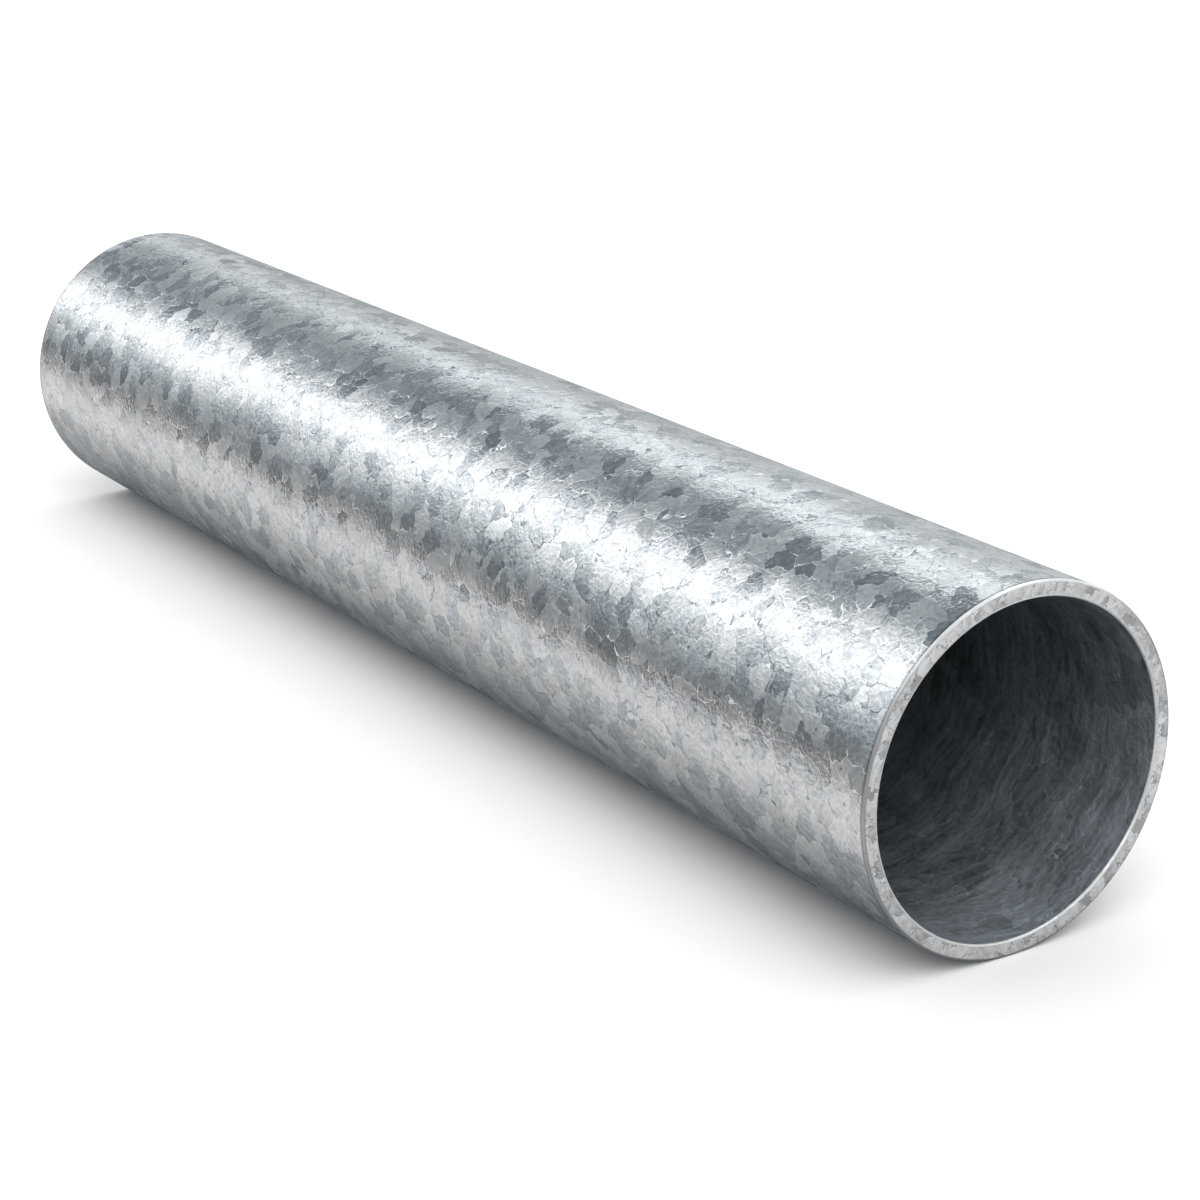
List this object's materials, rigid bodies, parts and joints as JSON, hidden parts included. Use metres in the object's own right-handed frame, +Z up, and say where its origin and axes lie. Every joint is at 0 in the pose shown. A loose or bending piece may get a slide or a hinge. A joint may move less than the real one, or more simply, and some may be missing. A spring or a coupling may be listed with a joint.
{
  "type": "steel pipe",
  "caption": "Straight round galvanised steel pipe with an open bore and square-cut ends with lightly rounded edges, stock for framing, posts, rails and pipework.",
  "frame": {"origin": "on the floor, under the middle of the pipe", "axes": "+X along the pipe's axis towards the end nearest the picture's camera, +Y level across the pipe, +Z up"},
  "size_m": [0.45, 0.0888, 0.0889],
  "materials": {
    "galvanised_steel": "hot-dip galvanised, satin zinc with a flaky spangle outside and on the cut ends, darker grey in the bore"
  },
  "bodies": {
    "root": {"pipe": "galvanised_steel"}
  },
  "joints": []
}
